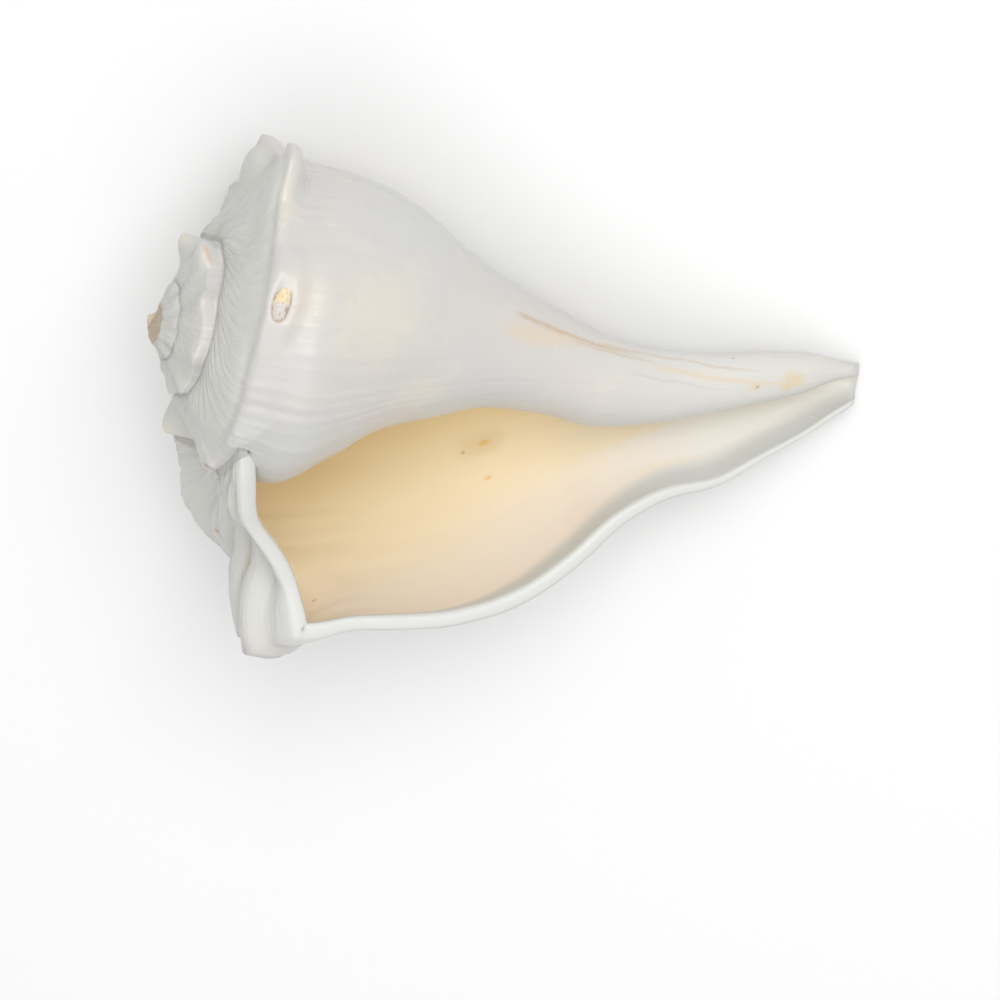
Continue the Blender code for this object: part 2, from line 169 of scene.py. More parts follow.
def bend(start, end, start_slope, end_slope, share):
    """A smooth way from start to end with these slopes."""
    return (
        start * (1 + 2 * share) * (1 - share) ** 2
        + start_slope * share * (1 - share) ** 2
        + end * share**2 * (3 - 2 * share)
        + end_slope * share**2 * (share - 1)
    )


def smooth_line(points):
    """A smooth curve through points with no overshoot between them, straight beyond its ends."""
    xs = np.array([p[0] for p in points], float)
    ys = np.array([p[1] for p in points], float)
    steps = np.diff(xs)
    slopes = np.diff(ys) / steps
    tangents = np.empty_like(ys)
    tangents[0], tangents[-1] = slopes[0], slopes[-1]
    before, after = slopes[:-1], slopes[1:]
    w1, w2 = 2 * steps[1:] + steps[:-1], steps[1:] + 2 * steps[:-1]
    same = before * after > 0
    safe_before = np.where(same, before, 1.0)
    safe_after = np.where(same, after, 1.0)
    tangents[1:-1] = np.where(same, (w1 + w2) / (w1 / safe_before + w2 / safe_after), 0.0)

    def at(x):
        x = np.asarray(x, float)
        i = np.clip(np.searchsorted(xs, x) - 1, 0, len(xs) - 2)
        f = (x - xs[i]) / steps[i]
        g = np.clip(f, 0.0, 1.0)
        value = bend(ys[i], ys[i + 1], steps[i] * tangents[i], steps[i] * tangents[i + 1], g)
        end_slope = np.where(f < 0, tangents[0], tangents[-1])
        return value + (f - g) * steps[i] * end_slope

    return at


crest_station = smooth_line([(a, x * MM) for a, x, r in CREST])
crest_log_radius = smooth_line([(a, math.log(r * MM)) for a, x, r in CREST])
middle_line = smooth_line([(x * MM, y * MM) for x, y in MIDDLE_LINE])
hollow_end = smooth_line([(a, x * MM) for a, x in HOLLOW_END])
suture_drop = smooth_line(SUTURE_DROPS)
ramp_swell = smooth_line(RAMP_SWELLS)


def crest_radius(angle):
    return np.exp(crest_log_radius(angle))


def suture_station(angle):
    """Where the turn after the one at this angle will lie on it."""
    return crest_station(angle) + suture_drop(angle) * crest_radius(angle)


def outline(angle):
    """One outline from the crest, at 0, to the canal's end, at 1, as the radius' logarithm."""
    radii = OUTLINES[angle]
    points = [(0.0, float(crest_log_radius(angle)))]
    points += [(n / len(radii), math.log(r * MM)) for n, r in enumerate(radii, 1)]
    return smooth_line(points)


KEY_ANGLES = sorted(OUTLINES)
KEY_OUTLINES = [outline(angle) for angle in KEY_ANGLES]


def body_radius(angle, x):
    """The plain whorl's radius below the crest, smooth through the outlines."""
    angle, x = np.broadcast_arrays(np.asarray(angle, float), np.asarray(x, float))
    start = crest_station(angle)
    share = (x - start) / (LENGTH - start)
    logs = np.stack([key(share) for key in KEY_OUTLINES])
    steps = (angle - KEY_ANGLES[0]) / OUTLINE_STEP
    last = len(KEY_ANGLES) - 1
    low = np.clip(np.floor(steps).astype(int), 0, last - 1)
    f = steps - low

    def log_at(i):
        return np.take_along_axis(logs, np.clip(i, 0, last)[None], 0)[0]

    a = log_at(low)
    b = log_at(low + 1)
    before = np.where(low > 0, log_at(low - 1), 2 * a - b)
    after = np.where(low + 1 < last, log_at(low + 2), 2 * b - a)
    slope_a = (b - before) / 2
    slope_b = (after - a) / 2
    inside = np.clip(f, 0, 1)
    return np.exp(bend(a, b, slope_a, slope_b, inside) + (f - inside) * (b - a))


def ease(x):
    x = np.clip(x, 0.0, 1.0)
    return x * x * (3 - 2 * x)


LEAD = LEAD_COLUMNS * STEP
TURN_COLUMNS = COLUMNS_PER_TURN - LEAD_COLUMNS
LAST = round((LIP_ANGLE - APEX_ANGLE) / STEP)
FIRST_OF_MOUTH = LAST - TURN_COLUMNS
SUTURE_ROW = RAMP_ROWS + SHOULDER_ROWS
WALL_ROW = SUTURE_ROW + 1
END_ROW = WALL_ROW + BODY_ROWS

# What the sheet keeps for each point. "line" is the growth line that it lies on, in degrees, and "across"
# runs from 0 at the suture over 1 at the crest to 2 at the canal's end; "off" is how far it lies from the
# crest, as a share of the crest's radius, "own" and "below" how much it takes of the knobs' reach, from its
# own turn and from the turn that it lies on, and "depth" how far inside the mouth it lies, in degrees
FIELDS = "growth station radius middle line across off own below drop inside edge depth".split()


def rows(growth, x, r, line, across, off, own=1.0, below=0.0, inside=0.0, edge=0.0, depth=0.0):
    """One line of the sheet's points, one row of numbers for each."""
    drop = suture_drop(np.asarray(growth, float) - 360.0)
    values = [growth, x, r, middle_line(x), line, across, off, own, below, drop, inside, edge, depth]
    return np.stack(np.broadcast_arrays(*[np.asarray(value, float) for value in values]), -1)


def off_crest(angle, x):
    """How far below the crest a station lies."""
    return (x - crest_station(angle)) / crest_radius(angle)


def body_across(angle, x):
    """How far across a station of the body lies, from 1 at the crest to 2 at the canal's end."""
    return 1 + (x - crest_station(angle)) / (LENGTH - crest_station(angle))


def ramp_rows(angle):
    """The ramp from suture to crest: shares, growth angles, stations, radii and ways off the crest."""
    share = np.arange(RAMP_ROWS + 1) / RAMP_ROWS
    growth = angle + LEAD * (1 - share) ** 3
    seat = suture_station(growth - 360.0)
    seat_radius = body_radius(growth - 360.0, seat)
    crest_r = crest_radius(growth)
    arch = np.sin(math.pi * share)
    x = seat + (crest_station(growth) - seat) * share - ramp_swell(growth) * crest_r * arch
    x = x + LIP_DIP * arch * np.exp(-(((growth - LIP_ANGLE) / LIP_DIP_WIDTH) ** 2))
    off = (share - 1) * np.hypot(crest_station(growth) - seat, crest_r - seat_radius) / crest_r
    return share, growth, x, seat_radius + (crest_r - seat_radius) * share, off


def upper_line(column):
    """The visible points of one column of any turn, from its suture to where the next turn lies on it."""
    angle = LIP_ANGLE - (LAST - column) * STEP
    share, growth, x, r, off = ramp_rows(angle)
    ramp = rows(growth, x, r, angle, share, off, below=1 - share)
    drop = suture_station(angle) - crest_station(angle)
    x = crest_station(angle) + drop * np.arange(1, SHOULDER_ROWS + 1) / SHOULDER_ROWS
    shoulder = rows(angle, x, body_radius(angle, x), angle, body_across(angle, x), off_crest(angle, x))
    return np.concatenate([ramp, shoulder])


def body_shares():
    """Row places from just under the suture, 0, to the canal end, 1, closer together near the shoulder."""
    even = np.arange(BODY_ROWS + 1) / BODY_ROWS
    return even * (SHOULDER_SPACING + (1 - SHOULDER_SPACING) * even)


def lower_angle(column, share):
    """The lower rows' angle: the start of the mouth leans, so that the turn closes at the canal end."""
    lead = LEAD * (1 - share)
    if column >= FIRST_OF_MOUTH:
        return LIP_ANGLE - (LAST - column) * (360.0 - lead) / TURN_COLUMNS
    return lead - (FIRST_OF_MOUTH - column) * STEP


def lower_line(column, end, depth=0):
    """The points of one column from one wall below the suture down to a station on the axis."""
    shares = body_shares()
    angle = lower_angle(column, shares)
    top = suture_station(angle) + WALL
    x = top + (end - top) * shares
    hidden = ease(depth * STEP / PILLAR_FADE)
    r = body_radius(angle, x)
    across = body_across(angle, x)
    return rows(angle, x, r, angle, across, off_crest(angle, x), inside=hidden, depth=depth * STEP)


def inset(x, r, wall):
    """The outline x, r moved inwards by the wall's thickness."""
    dx = np.gradient(x)
    dr = np.gradient(r)
    size = np.hypot(dx, dr)
    return x + wall * dr / size, r - wall * dx / size


def hollow_station(depth):
    """Where the hollow ends along the axis, this many columns into the mouth."""
    return float(hollow_end(depth * STEP)) if depth > OPEN_COLUMNS else LENGTH


def hollow_line(depth):
    """The outer wall of the hollow, one column, this many columns into the mouth."""
    angle = LIP_ANGLE - depth * STEP
    end = hollow_station(depth)
    share, growth, ramp_x, ramp_r, ramp_off = ramp_rows(angle)
    crest_x = float(crest_station(angle))
    seam = float(suture_station(angle))
    top = seam + WALL
    shoulder_x = crest_x + (seam - crest_x) * np.arange(1, SHOULDER_ROWS + 1) / SHOULDER_ROWS
    body_x = np.concatenate([shoulder_x, top + (end - top) * body_shares()])
    x = np.concatenate([ramp_x, body_x])
    r = np.concatenate([ramp_r, body_radius(angle, body_x)])
    wall = WALL + (LIP_WALL - WALL) * math.exp(-depth * STEP / LIP_WALL_DEPTH)
    thin = ease((x - THIN_FROM) / (THIN_TO - THIN_FROM))
    wall = wall + (CANAL_WALL - wall) * thin
    x_in, r_in = inset(x, r, wall)
    x_in[-1] = x[-1]
    r_in[-1] = r[-1] - wall[-1]
    # The pillar side, which the outer wall runs into where the hollow ends
    pillar_r = body_radius(angle - 360.0, x_in)
    late = np.clip((x_in - end) / (ROUNDED_SHARE * (end - top)) + 1, 0.0, 1.0)
    closing = np.sqrt(1 - late**2)
    if depth < OPEN_COLUMNS:
        still_open = math.sqrt(1 - (depth / OPEN_COLUMNS) ** 2)
        closing = 1 - (1 - closing) * (1 - still_open)
    gap = np.maximum(r_in - pillar_r, LEAST_GAP) * closing
    r_in = np.where(x_in > top, pillar_r + gap, r_in)
    growth = np.concatenate([growth, np.full(len(body_x), angle)])
    across = np.concatenate([share, body_across(angle, body_x)])
    off = np.concatenate([ramp_off, off_crest(angle, body_x)])
    below = np.concatenate([1 - share, np.zeros(len(body_x))])
    return rows(growth, x_in, r_in, angle, across, off, INNER_KNOB, below, 1.0, depth=depth * STEP)


def place(point):
    """Where a point of the sheet comes to lie round the axis, without its knobs."""
    turn = math.radians(point[0])
    return Vector((point[1], point[3] - point[2] * math.cos(turn), point[2] * math.sin(turn)))


class Sheet:
    """The points and faces of the closed sheet that the shell is coiled from."""

    def __init__(self):
        self.points = []
        self.faces = []

    def line(self, points):
        first = len(self.points)
        self.points += list(points)
        return list(range(first, len(self.points)))

    def face(self, *corners):
        different = [corner for n, corner in enumerate(corners) if corner != corners[n - 1]]
        if len(different) > 2:
            self.faces.append(different)

    def strip(self, one, other):
        """Quads between two lines with the same number of points."""
        for n in range(len(one) - 1):
            self.face(one[n], one[n + 1], other[n + 1], other[n])

    def fill(self, one, other):
        """Triangles between two lines that start and end together, or side by side."""
        ones = [place(self.points[n]) for n in one]
        others = [place(self.points[n]) for n in other]
        i = j = 0
        while i < len(one) - 1 or j < len(other) - 1:
            step_one = i < len(one) - 1
            if step_one and j < len(other) - 1:
                step_one = (ones[i + 1] - others[j]).length <= (ones[i] - others[j + 1]).length
            if step_one:
                self.face(one[i], one[i + 1], other[j])
                i += 1
            else:
                self.face(one[i], other[j + 1], other[j])
                j += 1


def lip_lines(outer, inner):
    """Lines across the lip's thick edge, round in section, from its outer to its inner corner."""
    growth, station, radius, edge = (FIELDS.index(name) for name in ("growth", "station", "radius", "edge"))
    lines = []
    for n in range(1, LIP_ROWS + 1):
        share = n / (LIP_ROWS + 1)
        line = outer + (inner - outer) * share
        line[:, growth] += np.degrees(LIP_ROUND * math.sqrt(math.sin(math.pi * share)) / line[:, radius])
        line[:, edge] = math.sin(math.pi * share)
        lines.append(line)
    return lines


def shell_sheet():
    """The whole shell as one closed sheet, inside and outside."""
    sheet = Sheet()
    columns = []
    for column in range(LAST + 1):
        points = upper_line(column)
        if column >= TURN_COLUMNS:
            line = [columns[column - TURN_COLUMNS][SUTURE_ROW]] + sheet.line(points[1:])
        else:
            line = sheet.line(points)
        if column >= FIRST_OF_MOUTH:
            line += sheet.line(lower_line(column, LENGTH))
        columns.append(line)
    for column in range(LAST):
        last_row = SUTURE_ROW if column < FIRST_OF_MOUTH else END_ROW
        sheet.strip(columns[column][: last_row + 1], columns[column + 1][: last_row + 1])
    # The apex
    rim = [columns[column][0] for column in range(TURN_COLUMNS + 1)] + columns[0][SUTURE_ROW - 1 : 0 : -1]
    tip = sheet.line(rows([APEX_ANGLE], -APEX_RISE, 0.0, APEX_ANGLE, 0.0, -1.0))[0]
    for n in range(len(rim)):
        sheet.face(rim[n], rim[(n + 1) % len(rim)], tip)
    # The hollow
    pillar = [columns[FIRST_OF_MOUTH][WALL_ROW:]]
    outer = []
    for depth in [*range(DARK_COLUMNS), *range(DARK_COLUMNS, HOLLOW_COLUMNS + 1, DARK_STEP)]:
        if depth:
            points = lower_line(FIRST_OF_MOUTH - depth, hollow_station(depth), depth)
            pillar.append(sheet.line(points))
        points = hollow_line(depth)[1:]
        closed = depth >= OPEN_COLUMNS
        line = [pillar[-1][0]] + sheet.line(points[:-1] if closed else points)
        outer.append(line + [pillar[-1][-1]] if closed else line)
    for n in range(len(outer) - 1):
        sheet.strip(pillar[n], pillar[n + 1])
        sheet.strip(outer[n], outer[n + 1])
    sheet.fill(outer[-1], pillar[-1])
    # The lip's edge
    edge = columns[LAST]
    across = [edge]
    edge_points = np.array([sheet.points[n] for n in edge[1:]])
    inner_points = np.array([sheet.points[n] for n in outer[0][1:]])
    across += [sheet.line(line) for line in lip_lines(edge_points, inner_points)]
    across.append(outer[0][1:])
    across[0] = edge[1:]
    for one, other in zip(across[:-1], across[1:]):
        sheet.strip(one, other)
        sheet.face(edge[0], one[0], other[0])
    sheet.face(edge[0], outer[0][1], outer[0][0])
    # The canal's blunt end
    outside = [columns[column][END_ROW] for column in range(FIRST_OF_MOUTH, LAST + 1)]
    outside += [line[-1] for line in across[1:-1]]
    inside = [pillar[depth][-1] for depth in range(OPEN_COLUMNS + 1)]
    inside += [outer[depth][-1] for depth in range(OPEN_COLUMNS - 1, -1, -1)]
    sheet.fill(outside, inside)
    return sheet


def add_object(name, data):
    """A new object in the scene."""
    made = bpy.data.objects.new(name, data)
    bpy.context.scene.collection.objects.link(made)
    return made


def sheet_object(name):
    """The sheet as a mesh that keeps each point's numbers as attributes."""
    sheet = shell_sheet()
    points = np.array(sheet.points)
    mesh = bpy.data.meshes.new(name)
    mesh.from_pydata([place(point) for point in points], [], sheet.faces)
    closed = bmesh.new()
    closed.from_mesh(mesh)
    bmesh.ops.recalc_face_normals(closed, faces=closed.faces[:])
    closed.to_mesh(mesh)
    closed.free()
    for n, field in enumerate(FIELDS):
        kept = mesh.attributes.new(field, "FLOAT", "POINT")
        kept.data.foreach_set("value", points[:, n].astype(np.float32))
    mesh.update()
    return add_object(name, mesh)


class Nodes:
    """Adds nodes to a tree and links or sets their inputs."""

    def __init__(self, tree):
        self.tree = tree

    def add(self, kind, values=None, **settings):
        node = self.tree.nodes.new(kind)
        for name, value in settings.items():
            setattr(node, name, value)
        for key, value in (values or {}).items():
            self.feed(node.inputs[key], value)
        return node

    def feed(self, socket, value):
        if isinstance(value, bpy.types.NodeSocket):
            self.tree.links.new(value, socket)
        else:
            socket.default_value = value

    def math(self, operation, *values, clamp=False):
        node = self.add("ShaderNodeMath", operation=operation, use_clamp=clamp)
        for socket, value in zip(node.inputs, values):
            self.feed(socket, value)
        return node.outputs[0]

    def sum(self, *values):
        total = values[0]
        for value in values[1:]:
            total = self.math("ADD", total, value)
        return total

    def minus(self, one, other):
        return self.math("SUBTRACT", one, other)

    def product(self, *values):
        total = values[0]
        for value in values[1:]:
            total = self.math("MULTIPLY", total, value)
        return total

    def bump(self, value, middle, width):
        """1 where the value is at the middle, falling away like a bell over the width."""
        off = self.away(value, middle, width)
        return self.math("EXPONENT", self.product(off, off, -1.0))

    def away(self, value, middle, width):
        """How far the value is from the middle, in widths."""
        return self.math("DIVIDE", self.minus(value, middle), width)

    def both(self, one, other):
        """How far a point is away that lies this far away each way."""
        return self.math("SQRT", self.sum(self.product(one, one), self.product(other, other)))

    def mound(self, away, blunt):
        """1 in the middle and falling away outwards, flatter on top the blunter it is."""
        return self.math("EXPONENT", self.product(self.math("POWER", away, blunt), -1.0))

    def step(self, value, low, high):
        """Rises smoothly from 0 to 1 as the value goes from low to high."""
        node = self.add("ShaderNodeMapRange", interpolation_type="SMOOTHSTEP")
        for key, number in (("Value", value), ("From Min", low), ("From Max", high)):
            self.feed(node.inputs[key], number)
        return node.outputs[0]

    def fall(self, value, low, high):
        """Falls smoothly from 1 to 0 as the value goes from low to high."""
        return self.minus(1.0, self.step(value, low, high))

    def group(self, tree, values):
        """A node that runs a group on these inputs."""
        kind = tree.bl_idname.replace("NodeTree", "NodeGroup")
        return self.add(kind, values, node_tree=tree).outputs

    def vector(self, x, y, z):
        return self.add("ShaderNodeCombineXYZ", {0: x, 1: y, 2: z}).outputs[0]

    def vector_math(self, operation, *values):
        node = self.add("ShaderNodeVectorMath", operation=operation)
        for socket, value in zip(node.inputs, values):
            self.feed(socket, value)
        return node.outputs[0]

    def noise(self, vector, scale, detail=2.0, roughness=0.5, seed=0.0):
        """A noise between -1 and 1."""
        values = {"Vector": vector, "W": seed, "Scale": scale, "Detail": detail, "Roughness": roughness}
        node = self.add("ShaderNodeTexNoise", values, noise_dimensions="4D")
        return self.math("MULTIPLY_ADD", node.outputs[0], 2.0, -1.0)


def group_tree(name, kind, inputs, outputs):
    """A new node tree with named inputs and outputs, with its group input and output nodes."""
    tree = bpy.data.node_groups.new(name, kind)
    for label, socket_type, value in inputs:
        socket = tree.interface.new_socket(name=label, in_out="INPUT", socket_type=socket_type)
        if value is not None:
            socket.default_value = value
    for label, socket_type in outputs:
        tree.interface.new_socket(name=label, in_out="OUTPUT", socket_type=socket_type)
    nodes = Nodes(tree)
    return nodes, nodes.add("NodeGroupInput").outputs, nodes.add("NodeGroupOutput").inputs


FLOAT = "NodeSocketFloat"
GEOMETRY = "NodeSocketGeometry"
REACH = [("Out", FLOAT), ("Up", FLOAT)]  # what a knob tree puts out


def knob_tree():
    """One knob's reach at a growth angle, some way off the crest."""
    names = ("Growth", "Off", "At", "Half Width", "Off At", "Off Width", "Out", "Up", "Blunt")
    inputs = [(name, FLOAT, 1.0) for name in names]
    nodes, given, result = group_tree("knob", "GeometryNodeTree", inputs, REACH)
    along = nodes.away(given["Growth"], given["At"], given["Half Width"])
    across = nodes.away(given["Off"], given["Off At"], given["Off Width"])
    mound = nodes.mound(nodes.both(along, across), given["Blunt"])
    nodes.feed(result["Out"], nodes.product(mound, given["Out"]))
    nodes.feed(result["Up"], nodes.product(mound, given["Up"]))
    return nodes.tree


def knobs_tree():
    """The reach of all the knobs of the shoulder at a growth angle, some way off the crest."""
    inputs = [("Growth", FLOAT, 0.0), ("Off", FLOAT, 0.0), ("Reach", FLOAT, 1.0)]
    nodes, given, result = group_tree("shoulder knobs", "GeometryNodeTree", inputs, REACH)
    knob = knob_tree()
    outs = []
    ups = []
    for at, width, off_at, off_width, out, up, blunt in KNOBS:
        values = (given["Growth"], given["Off"], at, width, off_at, off_width, out * MM, up * MM, blunt)
        one = nodes.group(knob, dict(enumerate(values)))
        outs.append(one["Out"])
        ups.append(one["Up"])
    # The first turns' even row of small knobs
    first = KNOBS[-1][0] - EARLY_KNOB_STEP
    turn = nodes.product(nodes.minus(given["Growth"], first), math.tau / EARLY_KNOB_STEP)
    wave = nodes.math("MULTIPLY_ADD", nodes.math("COSINE", turn), 0.5, 0.5)
    early = nodes.math("LESS_THAN", given["Growth"], first + EARLY_KNOB_STEP / 2)
    # The radius of the first turns' crest, which grows evenly
    first_angle, last_angle = CREST[0][0], CREST[2][0]
    growth_rate = math.log(CREST[2][2] / CREST[0][2]) / (last_angle - first_angle)
    turned = nodes.product(nodes.minus(given["Growth"], first_angle), growth_rate)
    radius = nodes.product(nodes.math("EXPONENT", turned), CREST[0][2] * MM)
    spread = nodes.bump(given["Off"], 0.0, EARLY_KNOB_SPREAD)
    early = nodes.product(wave, early, radius, EARLY_KNOB_REACH, spread)
    nodes.feed(result["Out"], nodes.product(nodes.sum(*outs, early), given["Reach"]))
    nodes.feed(result["Up"], nodes.product(nodes.sum(*ups, early), given["Reach"]))
    return nodes.tree


# Two grooves behind the lip, by their growth lines in degrees
DEEP_GROOVE = 347.4
FAR_GROOVE = 338.0
# Folds that run along the growth lines behind the lip: line and half width in degrees, height in millimetres
LIP_FOLDS = (
    (355.6, 1.4, -1.7),
    (351.6, 1.6, 1.6),
    (DEEP_GROOVE, 1.2, -2.0),
    (343.0, 2.0, 1.1),
    (FAR_GROOVE, 1.3, -1.2),
    (333.0, 2.2, 0.8),
    (327.0, 1.8, -0.8),
    (318.0, 2.5, 0.8),
)
# Spots on the shoulder: growth angle and half width in degrees, place and half width off the crest
WORN_SPOT = (100.3, 7.0, 0.088, 0.068)
RING_SPOT = (9.5, 4.6, 0.01, 0.045)
# How far off the crest the lip's tongue over the turn before ends, and how much further for each degree
TONGUE_END = 0.1
TONGUE_SLOPE = 0.0075
FULL_RADIUS = 30.0 * MM  # where the shell is as wide as this, its relief has its full height
END_REACH = 14.0 * MM  # the canal's last stretch, which leans


def spot_away(nodes, growth, off, spot):
    """How far a point is from the middle of a spot on the shoulder, in half widths."""
    at, width, off_at, off_width = spot
    return nodes.both(nodes.away(growth, at, width), nodes.away(off, off_at, off_width))


def before_tongue_end(nodes, growth, off):
    """1 up to the slanting edge of the lip's tongue, 0 past it."""
    edge_off = nodes.sum(nodes.product(nodes.minus(growth, LEAD), TONGUE_SLOPE), TONGUE_END)
    return nodes.fall(nodes.minus(off, edge_off), -0.03, 0.0)


def unevenness(nodes, field, given):
    """The folds along the growth lines and the waves that run all over the shell."""
    here = nodes.add("GeometryNodeInputPosition").outputs[0]
    along = nodes.vector(nodes.product(field["line"], 0.05), nodes.product(field["across"], 0.6), 0.0)
    folds = nodes.noise(along, given["Fold Count"], detail=3.0, roughness=0.55, seed=given["Seed"])
    on_ramp = nodes.fall(field["across"], 1.0, 1.35)
    late = nodes.step(field["growth"], -60.0, 330.0)
    near_lip = nodes.step(field["growth"], 285.0, 345.0)
    fold_share = nodes.sum(0.16, nodes.product(on_ramp, nodes.sum(0.30, nodes.product(late, 0.5))))
    folds = nodes.product(folds, fold_share, given["Fold Height"], nodes.sum(1.0, near_lip))
    wavy = nodes.noise(here, given["Wave Count"], detail=3.0, roughness=0.5, seed=given["Seed"])
    return nodes.sum(folds, nodes.product(wavy, given["Wave Height"]))


def relief_height(nodes, field, given):
    """How far the grown surface stands out from its plain form: folds, wrinkles, wear and unevenness."""
    growth, line, across, off = (field[name] for name in ("growth", "line", "across", "off"))
    outside = nodes.minus(1.0, field["inside"])
    small = nodes.math("MINIMUM", 1.0, nodes.product(field["radius"], 1.0 / FULL_RADIUS))
    inner = nodes.sum(0.25, nodes.product(outside, 0.75))
    uneven = nodes.product(unevenness(nodes, field, given), small, inner)
    # The folds behind the lip, deepest on its ramp
    folds = [nodes.product(nodes.bump(line, at, width), height * MM) for at, width, height in LIP_FOLDS]
    reach = nodes.product(nodes.step(across, 0.08, 0.3), nodes.fall(off, 0.04, 0.24))
    folds = nodes.product(nodes.sum(*folds), reach)
    # The cord along the crest, with a groove on its ramp side
    cord = nodes.product(nodes.bump(off, 0.045, 0.045), given["Cord Height"])
    groove = nodes.product(nodes.bump(off, -0.05, 0.035), given["Cord Height"], -1.0)
    cord = nodes.product(nodes.sum(cord, groove), nodes.step(growth, -30.0, 60.0))
    cord = nodes.product(cord, nodes.fall(growth, 250.0, 320.0))
    # The worn hollow in the knob that faces the viewer
    wear = nodes.mound(spot_away(nodes, growth, off, WORN_SPOT), 4.0)
    wear = nodes.product(wear, given["Wear Depth"], -1.0)
    # The small worn ring on the first knob of the last turn
    ring_away = spot_away(nodes, growth, off, RING_SPOT)
    ring = nodes.product(nodes.bump(ring_away, 1.0, 0.35), given["Cord Height"])
    pit = nodes.product(nodes.bump(ring_away, 0.0, 0.5), given["Cord Height"], -1.2)
    # The lip's thin tongue over the turn before
    tongue = nodes.product(before_tongue_end(nodes, growth, off), nodes.step(off, -0.05, 0.0))
    tongue = nodes.product(tongue, nodes.fall(growth, LEAD + 8.0, LEAD + 26.0))
    tongue = nodes.product(tongue, nodes.step(growth, LEAD - 6.0, LEAD - 1.0), given["Tongue Height"])
    made = nodes.sum(folds, cord, wear, ring, pit, tongue)
    # The ledge where a turn laps over the one before, hooked here and there
    along = nodes.vector(nodes.product(line, 0.12), 0.0, 0.0)
    hooks = nodes.noise(along, 1.0, detail=4.0, roughness=0.7, seed=7.0)
    ledge = nodes.step(across, 0.0, nodes.sum(0.10, nodes.product(hooks, 0.07)))
    ledge = nodes.product(ledge, nodes.fall(across, 0.1, 0.5), small, given["Ledge Height"])
    return nodes.sum(uneven, nodes.product(nodes.sum(made, ledge), outside))


def growth_tree():
    """Coils the sheet into the shell, raises its relief and lays it down."""
    inputs = [
        ("Sheet", GEOMETRY, None),
        ("Knob Reach", FLOAT, 1.0),
        ("Fold Height", FLOAT, 1.4 * MM),
        ("Fold Count", FLOAT, 5.0),
        ("Wave Height", FLOAT, 0.5 * MM),
        ("Wave Count", FLOAT, 45.0),
        ("Cord Height", FLOAT, 0.8 * MM),
        ("Wear Depth", FLOAT, 1.9 * MM),
        ("End Lean", FLOAT, 0.38),
        ("End Thickness", FLOAT, 2.6 * MM),
        ("Tongue Height", FLOAT, 0.5 * MM),
        ("Ledge Height", FLOAT, 0.9 * MM),
        ("Seed", FLOAT, 3.0),
        ("Rest Turn", FLOAT, math.radians(REST_TURN)),
        ("Rest Tip", FLOAT, math.radians(REST_TIP)),
        ("Apex Place", "NodeSocketVector", APEX_PLACE),
        ("Box Low", "NodeSocketVector", None),
        ("Box High", "NodeSocketVector", None),
        ("Material", "NodeSocketMaterial", None),
    ]
    nodes, given, result = group_tree("shell growth", "GeometryNodeTree", inputs, [("Shell", GEOMETRY)])
    field = {}
    for name in FIELDS:
        kept = nodes.add("GeometryNodeInputNamedAttribute", {"Name": name}, data_type="FLOAT")
        field[name] = kept.outputs[0]
    knobs = knobs_tree()

    reach = nodes.product(field["own"], given["Knob Reach"])
    own = nodes.group(knobs, {"Growth": field["growth"], "Off": field["off"], "Reach": reach})
    turn_before = nodes.minus(field["growth"], 360.0)
    reach = nodes.product(field["below"], given["Knob Reach"])
    under = nodes.group(knobs, {"Growth": turn_before, "Off": field["drop"], "Reach": reach})
    station = nodes.minus(nodes.minus(field["station"], own["Up"]), under["Up"])
    radius = nodes.sum(field["radius"], own["Out"], under["Out"])
    turn = nodes.math("RADIANS", field["growth"])
    # The canal's floor runs out as far as its edges
    behind = nodes.minus(given["End Thickness"], nodes.product(radius, nodes.math("SINE", turn)))
    behind = nodes.math("MAXIMUM", behind, 0.0)
    lean = nodes.product(behind, given["End Lean"], nodes.step(station, LENGTH - END_REACH, LENGTH))
    station = nodes.sum(station, lean)
    y = nodes.minus(field["middle"], nodes.product(radius, nodes.math("COSINE", turn)))
    coiled_place = nodes.vector(station, y, nodes.product(radius, nodes.math("SINE", turn)))
    coiled = nodes.add("GeometryNodeSetPosition", {"Geometry": given["Sheet"], "Position": coiled_place})
    normal = nodes.add("GeometryNodeInputNormal").outputs[0]
    offset = {0: normal, "Scale": relief_height(nodes, field, given)}
    offset = nodes.add("ShaderNodeVectorMath", offset, operation="SCALE")
    grown = nodes.add("GeometryNodeSetPosition", {"Geometry": coiled.outputs[0], "Offset": offset.outputs[0]})
    turn = nodes.vector(given["Rest Turn"], 0.0, 0.0)
    turned = nodes.add("GeometryNodeTransform", {"Geometry": grown.outputs[0], "Rotation": turn})
    tip = nodes.vector(0.0, given["Rest Tip"], 0.0)
    lying = {"Geometry": turned.outputs[0], "Rotation": tip, "Translation": given["Apex Place"]}
    lying = nodes.add("GeometryNodeTransform", lying)
    # Worn flat where it rests, and nowhere past the box
    here = nodes.add("GeometryNodeInputPosition").outputs[0]
    within = nodes.vector_math("MAXIMUM", here, given["Box Low"])
    within = nodes.vector_math("MINIMUM", within, given["Box High"])
    worn = nodes.add("GeometryNodeSetPosition", {"Geometry": lying.outputs[0], "Position": within})
    smooth = nodes.add("GeometryNodeSetShadeSmooth", {0: worn.outputs[0]})
    real = nodes.add("GeometryNodeRealizeInstances", {0: smooth.outputs[0]})
    finished = nodes.add("GeometryNodeSetMaterial", {"Geometry": real.outputs[0]})
    nodes.feed(finished.inputs["Material"], given["Material"])
    nodes.feed(result["Shell"], finished.outputs[0])
    return nodes.tree


